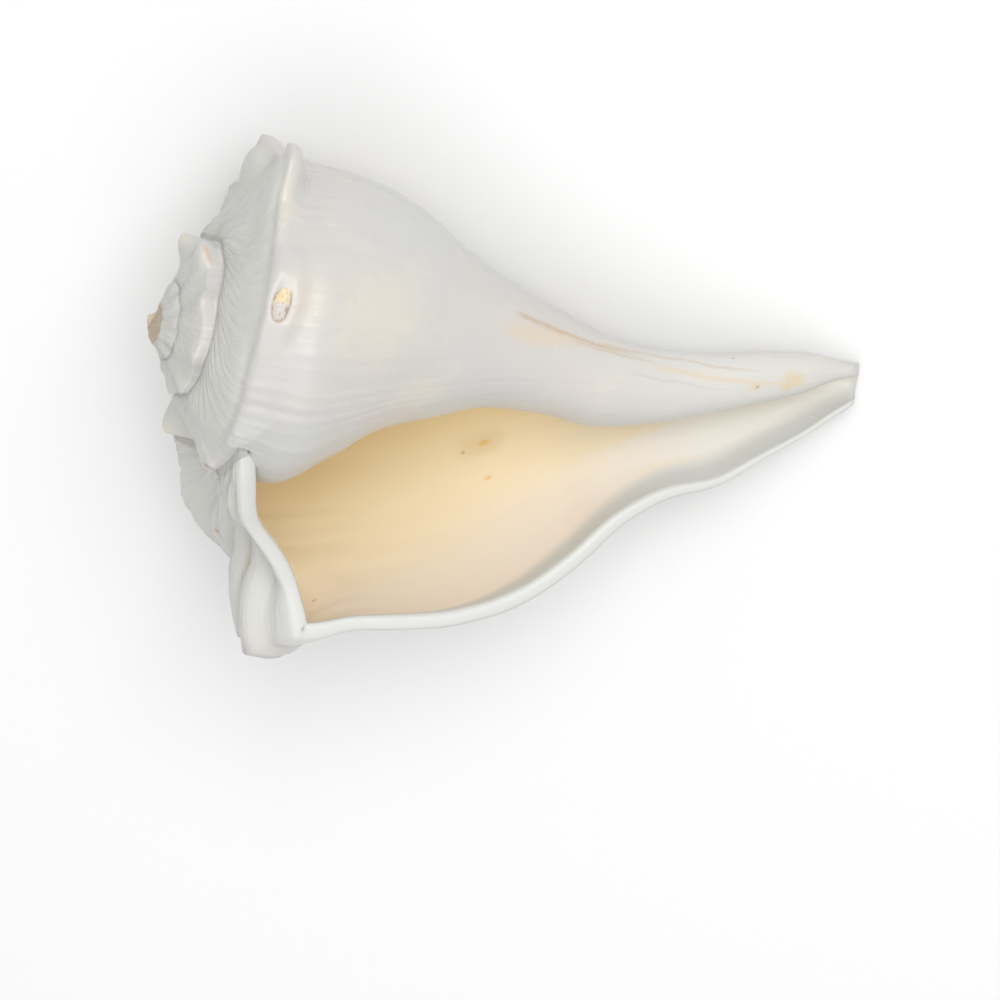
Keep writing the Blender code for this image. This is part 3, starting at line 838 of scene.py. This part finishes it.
def grow(sheet, tree, **values):
    """Runs a tree on the sheet and keeps the result as a plain mesh."""
    modifier = sheet.modifiers.new("growth", "NODES")
    modifier.node_group = tree
    sockets = {item.name: item.identifier for item in tree.interface.items_tree if item.in_out == "INPUT"}
    for name, value in values.items():
        modifier[sockets[name.replace("_", " ")]] = value
    ready = sheet.evaluated_get(bpy.context.evaluated_depsgraph_get())
    mesh = bpy.data.meshes.new_from_object(ready)
    sheet.modifiers.clear()
    sheet.data = mesh
    return sheet


def colour(nodes, factor, low, high):
    """A mix of two colours or sockets."""
    mix = nodes.add("ShaderNodeMix", data_type="RGBA")
    for key, value in (("Factor", factor), ("A", low), ("B", high)):
        if isinstance(value, tuple):
            value = (*value, 1.0)
        nodes.feed(mix.inputs[key], value)
    return mix.outputs["Result"]


def layered(nodes, base, *layers):
    """The base colour under layers of a mask and a colour each."""
    for mask, tint in layers:
        base = colour(nodes, mask, base, tint)
    return base


# The shell's colours
LIP_WHITE = (0.655, 0.66, 0.63)
OUTSIDE_GREY = (0.575, 0.575, 0.555)
OUTSIDE_PINK = (0.60, 0.565, 0.54)
RAMP_GREY = (0.60, 0.60, 0.565)
CREAM = (0.76, 0.69, 0.53)
YELLOW = (0.72, 0.55, 0.28)
BROWN = (0.36, 0.23, 0.12)
ORANGE = (0.58, 0.31, 0.09)
SEAM_TAN = (0.50, 0.34, 0.16)
AMBER = (0.74, 0.62, 0.38)
CHALK = (0.60, 0.57, 0.52)
MOUTH_SPOT = (0.86, 0.55, 0.17)
CANAL_WHITE = (0.665, 0.65, 0.615)
MOUTH_PINK = (0.93, 0.83, 0.71)
MOUTH_GOLD = (0.95, 0.82, 0.57)
MOUTH_AMBER = (0.96, 0.76, 0.42)
CANAL_PALE = (0.87, 0.84, 0.77)

# Stains on the outside: growth angle and half width in degrees, place and half width across, strength, colour
OUTSIDE_STAINS = (
    (-890, 60, 0.6, 1.0, 0.7, YELLOW),
    (-215, 7, 1.005, 0.008, 0.35, ORANGE),
    (-160, 9, 0.9, 0.2, 0.35, CREAM),
    (-37.5, 9, 0.95, 0.18, 0.6, CREAM),
    (2, 4, 0.93, 0.05, 0.4, YELLOW),
    (135, 13, 0.99, 0.05, 0.35, CREAM),
    (103, 16, 1.06, 0.05, 0.25, CREAM),
    (45.7, 0.9, 1.023, 0.004, 0.9, BROWN),
    (42.7, 0.9, 1.006, 0.004, 0.9, BROWN),
    (108, 15, 1.46, 0.09, 0.30, YELLOW),
    (100, 26, 1.18, 0.10, 0.30, CREAM),
    (60, 18, 1.27, 0.07, 0.25, CREAM),
    (68, 22, 1.885, 0.028, 0.55, YELLOW),
    (107, 3, 1.785, 0.004, 0.7, BROWN),
    (57, 9, 1.824, 0.014, 0.45, YELLOW),
    (57, 3, 1.827, 0.004, 0.6, BROWN),
    (50, 9, 1.876, 0.012, 0.55, YELLOW),
    (332, 1.2, 0.68, 0.03, 0.8, ORANGE),
    (338, 1.0, 0.70, 0.03, 0.8, ORANGE),
    (342, 1.0, 0.71, 0.04, 0.7, ORANGE),
)
# The same for the wall inside the mouth
MOUTH_STAINS = (
    (306.7, 6, 1.40, 0.05, 0.35, YELLOW),
    (306.7, 1.5, 1.406, 0.012, 0.8, MOUTH_SPOT),
    (318.7, 1.0, 1.407, 0.008, 0.6, MOUTH_SPOT),
    (308.2, 0.8, 1.372, 0.005, 0.6, ORANGE),
    (344.2, 0.5, 1.086, 0.004, 0.45, BROWN),
    (345, 4, 1.67, 0.09, 0.30, MOUTH_GOLD),
    (322, 6, 1.60, 0.14, 0.60, MOUTH_GOLD),
)
# Streaks that run down the back of the canal: growth angle where they start and half width in degrees, where
# they start and end across, strength and colour
STREAKS = (
    (113, 3.2, 1.40, 1.66, 0.55, SEAM_TAN),
    (107, 2.0, 1.50, 1.70, 0.35, SEAM_TAN),
    (118, 2.4, 1.55, 1.86, 0.34, SEAM_TAN),
    (101, 3.4, 1.64, 1.95, 0.40, YELLOW),
    (88, 1.6, 1.60, 1.80, 0.16, BROWN),
)
STREAK_START = 1.52
STREAK_SLOPE = 122.0  # degrees back for each unit across
FIRST_OF_WALL = 45.0  # the hollow's outer wall lies on growth lines past this one, the pillar before it
STRIA_SPACING = 1.3  # degrees between the fine grooves of the lip's tongue


def stain_tree():
    """The mask of a round stain with a ragged edge."""
    names = ("Growth", "Across", "Ragged", "At", "Half Width", "Across At", "Across Width", "Strength")
    inputs = [(name, FLOAT, 1.0) for name in names]
    nodes, given, result = group_tree("stain", "ShaderNodeTree", inputs, [("Mask", FLOAT)])
    along = nodes.away(given["Growth"], given["At"], given["Half Width"])
    across = nodes.away(given["Across"], given["Across At"], given["Across Width"])
    away = nodes.sum(nodes.both(along, across), nodes.product(given["Ragged"], 0.5))
    nodes.feed(result["Mask"], nodes.product(nodes.fall(away, 0.25, 1.05), given["Strength"]))
    return nodes.tree


def streak_tree():
    """The mask of a streak down the back of the canal, broken up along its way."""
    names = ("Growth", "Across", "Ragged", "At", "Half Width", "From", "To", "Strength")
    inputs = [(name, FLOAT, 1.0) for name in names]
    nodes, given, result = group_tree("streak", "ShaderNodeTree", inputs, [("Mask", FLOAT)])
    back = nodes.product(nodes.minus(given["Across"], STREAK_START), STREAK_SLOPE)
    along = nodes.sum(given["Growth"], back, nodes.product(given["Ragged"], 7.0))
    line = nodes.bump(along, given["At"], given["Half Width"])
    begun = nodes.step(given["Across"], given["From"], nodes.sum(given["From"], 0.03))
    going_on = nodes.fall(given["Across"], nodes.minus(given["To"], 0.10), given["To"])
    line = nodes.product(line, begun, going_on, given["Strength"])
    nodes.feed(result["Mask"], nodes.product(line, nodes.step(given["Ragged"], -0.9, 0.1)))
    return nodes.tree


def growth_line_tree():
    """The fine lines of growth: a tone and a height for a growth line and a place across."""
    inputs = [("Line", FLOAT, 0.0), ("Across", FLOAT, 0.0), ("Count", FLOAT, 1.0)]
    outputs = [("Tone", FLOAT), ("Height", FLOAT)]
    nodes, given, result = group_tree("growth lines", "ShaderNodeTree", inputs, outputs)
    bent = nodes.vector(given["Line"], nodes.product(given["Across"], 4.0), 0.0)
    tone = nodes.noise(bent, nodes.product(given["Count"], 0.22), detail=4.0, roughness=0.6, seed=2.0)
    fine = nodes.noise(bent, nodes.product(given["Count"], 1.3), detail=3.0, roughness=0.6, seed=5.0)
    nodes.feed(result["Tone"], tone)
    nodes.feed(result["Height"], nodes.sum(nodes.product(tone, 0.5), nodes.product(fine, 0.5)))
    return nodes.tree


def marked(nodes, base, tree, values, places, entries):
    """The base colour with a stain or a streak on it for each entry."""
    for at, width, first, second, strength, tint in entries:
        inputs = {**values, "At": at, "Half Width": width, "Strength": strength}
        inputs.update({places[0]: first, places[1]: second})
        base = colour(nodes, nodes.group(tree, inputs)["Mask"], base, tint)
    return base


def worn_and_ringed(nodes, outside, field, marks):
    """The outside with its worn hollow, chalky and amber with a dark ragged rim, and its small ring."""
    growth, off = field["growth"], field["off"]
    ragged, worn = marks["ragged"], marks["worn"]
    pores = nodes.product(marks["pores"], 0.75)
    chalk = layered(nodes, CHALK, (pores, BROWN), (nodes.step(growth, 99.5, 102.5), AMBER))
    hollow = nodes.fall(worn, 0.72, 0.86)
    rim = nodes.product(nodes.bump(worn, 0.84, 0.09), nodes.step(ragged, -0.3, 0.2), 0.8)
    rim = nodes.product(rim, nodes.fall(growth, 103.0, 106.0))
    ring_away = spot_away(nodes, growth, off, RING_SPOT)
    ring = nodes.product(nodes.bump(ring_away, 1.4, 0.25), nodes.step(growth, 9.0, 5.0), 0.6)
    slit = nodes.product(nodes.bump(ring_away, 0.0, 0.4), 0.85)
    return layered(nodes, outside, (hollow, chalk), (rim, BROWN), (ring, YELLOW), (slit, BROWN))


def outside_colour(nodes, field, marks, stain):
    """Grey and pink, with cream, stains, streaks, the seam between the turns and the lip's white."""
    growth, line, across, off = (field[name] for name in ("growth", "line", "across", "off"))
    ragged, middle = marks["ragged"], marks["middle"]
    creamy = nodes.product(nodes.step(middle, 0.0, 0.5), nodes.step(across, 1.0, 1.1), 0.22)
    outside = layered(
        nodes,
        OUTSIDE_GREY,
        (nodes.step(marks["broad"], -0.35, 0.45), OUTSIDE_PINK),
        (nodes.product(marks["ramp"], 0.85), RAMP_GREY),
        (nodes.step(across, 1.45, 1.8), CANAL_WHITE),
        (nodes.product(nodes.step(marks["tone"], 0.0, 0.55), 0.16), CHALK),
        (creamy, CREAM),
    )
    values = {"Growth": growth, "Across": across, "Ragged": ragged}
    outside = marked(nodes, outside, stain, values, ("Across At", "Across Width"), OUTSIDE_STAINS)
    values["Ragged"] = middle
    outside = marked(nodes, outside, streak_tree(), values, ("From", "To"), STREAKS)
    # The seam between the turns, and the yellow grooves behind the lip
    seam = nodes.product(nodes.fall(across, 0.03, 0.075), nodes.step(ragged, -0.6, 0.3), 0.75)
    far_groove = nodes.product(nodes.bump(line, FAR_GROOVE, 0.5), 0.7)
    grooves = nodes.sum(nodes.bump(line, DEEP_GROOVE, 0.6), far_groove)
    grooves = nodes.product(grooves, nodes.step(across, 0.35, 0.6), nodes.fall(off, 0.0, 0.08), 0.5)
    outside = layered(nodes, outside, (seam, SEAM_TAN), (grooves, YELLOW))
    outside = worn_and_ringed(nodes, outside, field, marks)
    # The lip and its tongue over the turn before
    white = nodes.math("MAXIMUM", nodes.step(line, 354.5, 358.5), nodes.product(marks["tongue"], 0.8))
    return colour(nodes, white, outside, LIP_WHITE)


def inside_colour(nodes, field, marks, stain):
    """White at the lip, pink, then gold and amber, sooner towards the spire, and pale in the canal."""
    line, across, depth = field["line"], field["across"], field["depth"]
    wall = nodes.product(field["inside"], nodes.math("GREATER_THAN", line, FIRST_OF_WALL))
    spire_side = nodes.product(nodes.minus(1.42, across), 30.0)
    wall_depth = nodes.sum(depth, spire_side, nodes.product(marks["broad"], 7.0))
    mouth = layered(
        nodes,
        MOUTH_PINK,
        (nodes.step(wall_depth, 12.0, 46.0), MOUTH_GOLD),
        (nodes.step(wall_depth, 40.0, 85.0), MOUTH_AMBER),
        (nodes.step(across, 1.48, 1.74), CANAL_PALE),
    )
    values = {"Growth": field["growth"], "Across": across, "Ragged": marks["ragged"]}
    mouth = marked(nodes, mouth, stain, values, ("Across At", "Across Width"), MOUTH_STAINS)
    # The white band behind the lip's edge, wider along the canal
    from_lip = nodes.product(depth, field["radius"], math.radians(1))
    width = nodes.sum(1.2 * MM, nodes.product(nodes.step(across, 1.2, 1.5), 4.5 * MM))
    past_white = nodes.step(from_lip, nodes.product(width, 0.6), nodes.product(width, 1.5))
    mouth = colour(nodes, nodes.minus(1.0, nodes.product(wall, past_white)), mouth, LIP_WHITE)
    pillar = colour(nodes, nodes.step(depth, 22.0, 60.0), OUTSIDE_GREY, MOUTH_GOLD)
    return colour(nodes, nodes.math("LESS_THAN", line, FIRST_OF_WALL), mouth, pillar)


def fine_relief(nodes, field, marks, here):
    """The height of the growth lines, of the tongue's fine grooves and of the grain and pores."""
    turned = nodes.sum(field["growth"], nodes.product(field["off"], 30.0))
    striae = nodes.math("SINE", nodes.product(turned, math.tau / STRIA_SPACING))
    grain = nodes.noise(here, 1500.0, detail=2.0, seed=9.0)
    shares = nodes.sum(0.25, nodes.product(marks["ramp"], 0.6))
    height = nodes.product(marks["lines"], shares, nodes.sum(0.2, nodes.minus(1.0, field["inside"])))
    height = nodes.sum(height, nodes.product(striae, marks["tongue"], 0.12), nodes.product(grain, 0.03))
    return nodes.sum(height, nodes.product(marks["pores"], nodes.fall(marks["worn"], 0.7, 0.9), -0.5))


def new_material(name):
    """A material and its shader."""
    material = bpy.data.materials.new(name)
    material.use_nodes = True
    return material, material.node_tree.nodes["Principled BSDF"]


def shell_material():
    material, shader = new_material("shell")
    nodes = Nodes(material.node_tree)
    names = ("growth", "line", "across", "off", "inside", "depth", "radius")
    field = {name: nodes.add("ShaderNodeAttribute", attribute_name=name).outputs["Fac"] for name in names}
    growth, off = field["growth"], field["off"]
    here = nodes.add("ShaderNodeTexCoord").outputs["Object"]
    ragged = nodes.noise(here, 420.0, detail=4.0, roughness=0.7, seed=1.0)
    values = {"Line": field["line"], "Across": field["across"], "Count": 1.0}
    lines = nodes.group(growth_line_tree(), values)
    worn = nodes.sum(spot_away(nodes, growth, off, WORN_SPOT), nodes.product(ragged, 0.16))
    pores = nodes.noise(here, 900.0, detail=3.0, roughness=0.7, seed=8.0)
    tongue = nodes.product(before_tongue_end(nodes, growth, off), nodes.step(off, -0.02, 0.02))
    tongue = nodes.product(tongue, nodes.step(growth, LEAD - 3.0, LEAD))
    marks = {
        "ragged": ragged,
        "broad": nodes.noise(here, 26.0, detail=3.0, seed=4.0),
        "middle": nodes.noise(here, 90.0, detail=4.0, roughness=0.6, seed=6.0),
        "tone": lines["Tone"],
        "lines": lines["Height"],
        "ramp": nodes.fall(field["across"], 0.9, 1.04),
        "worn": worn,
        "pores": nodes.step(pores, 0.05, 0.3),
        "tongue": nodes.product(tongue, nodes.fall(growth, LEAD + 12.0, LEAD + 24.0)),
    }
    stain = stain_tree()
    outside = outside_colour(nodes, field, marks, stain)
    inside = inside_colour(nodes, field, marks, stain)
    shell = colour(nodes, nodes.step(field["inside"], 0.0, 0.9), outside, inside)
    nodes.feed(shader.inputs["Base Color"], shell)
    roughness = nodes.sum(0.36, nodes.product(marks["middle"], 0.06), nodes.product(marks["ramp"], 0.06))
    nodes.feed(shader.inputs["Roughness"], roughness)
    shader.inputs["Coat Weight"].default_value = 0.12
    shader.inputs["Coat Roughness"].default_value = 0.2
    height = fine_relief(nodes, field, marks, here)
    relief = nodes.add("ShaderNodeBump", {"Strength": 0.6, "Distance": 0.5 * MM, "Height": height})
    nodes.feed(shader.inputs["Normal"], relief.outputs["Normal"])
    return material


def conch_shell():
    shell = sheet_object("shell")
    tree = growth_tree()
    low, high = CAD_BOX
    return grow(shell, tree, Box_Low=tuple(low), Box_High=tuple(high), Material=shell_material())


# The camera: where it stands, seen from the apex, and the pixels that the apex and the scale come from
SLOPE = 4.2  # how far the axis runs down to the right in the photograph, in degrees
TILT = 12.0  # how far the apex leans towards the camera
DISTANCE = 1.2
APEX_PIXEL = (150.0, 326.0)
PIXELS_PER_METRE = 3760.0
PHOTO_SIZE = 1000.0


def camera():
    data = bpy.data.cameras.new("camera")
    slope = math.radians(SLOPE)
    tilt = math.radians(TILT)
    right = Vector((math.cos(slope) * math.cos(tilt), math.sin(slope), math.sin(tilt) * math.cos(slope)))
    near = Vector((-math.sin(tilt), 0.0, math.cos(tilt)))
    up = near.cross(right)
    rest = Matrix.Rotation(math.radians(REST_TIP), 3, "Y") @ Matrix.Rotation(math.radians(REST_TURN), 3, "X")
    right, up, near = rest @ right, rest @ up, rest @ near
    focal = PIXELS_PER_METRE * DISTANCE
    ahead = right * (PHOTO_SIZE / 2 - APEX_PIXEL[0]) - up * (PHOTO_SIZE / 2 - APEX_PIXEL[1]) - near * focal
    back = -ahead.normalized()
    side = up.cross(back).normalized()
    turned = Matrix((side, back.cross(side), back)).transposed()
    data.sensor_width = 36.0
    data.lens = focal / PHOTO_SIZE * data.sensor_width
    data.clip_end = 10.0
    view = add_object("camera", data)
    view.matrix_world = Matrix.Translation(APEX_PLACE + near * DISTANCE) @ turned.to_4x4()
    bpy.context.scene.camera = view


def area_light(name, where, size, power):
    data = bpy.data.lights.new(name, "AREA")
    data.size = size
    data.energy = power
    light = add_object(name, data)
    light.location = where
    light.rotation_euler = (-Vector(where)).to_track_quat("-Z", "Y").to_euler()


def studio():
    floor_mesh = bpy.data.meshes.new("floor")
    half = 3.0
    corners = [(-half, -half, 0), (half, -half, 0), (half, half, 0), (-half, half, 0)]
    floor_mesh.from_pydata(corners, [], [(0, 1, 2, 3)])
    floor = add_object("floor", floor_mesh)
    material, shader = new_material("floor")
    shader.inputs["Base Color"].default_value = (0.86, 0.86, 0.86, 1)
    shader.inputs["Roughness"].default_value = 0.8
    floor_mesh.materials.append(material)
    world = bpy.data.worlds.new("studio")
    world.use_nodes = True
    world.node_tree.nodes["Background"].inputs["Color"].default_value = (1, 1, 1, 1)
    world.node_tree.nodes["Background"].inputs["Strength"].default_value = 0.62
    bpy.context.scene.world = world
    area_light("key", (0.15, 0.75, 1.3), 1.0, 12.0)
    area_light("fill", (0.1, -0.5, 1.6), 1.4, 6.0)
    bpy.context.scene.view_settings.view_transform = "Standard"


shell = conch_shell()
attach(shell, "root")
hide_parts("conch_shell")
studio()
camera()
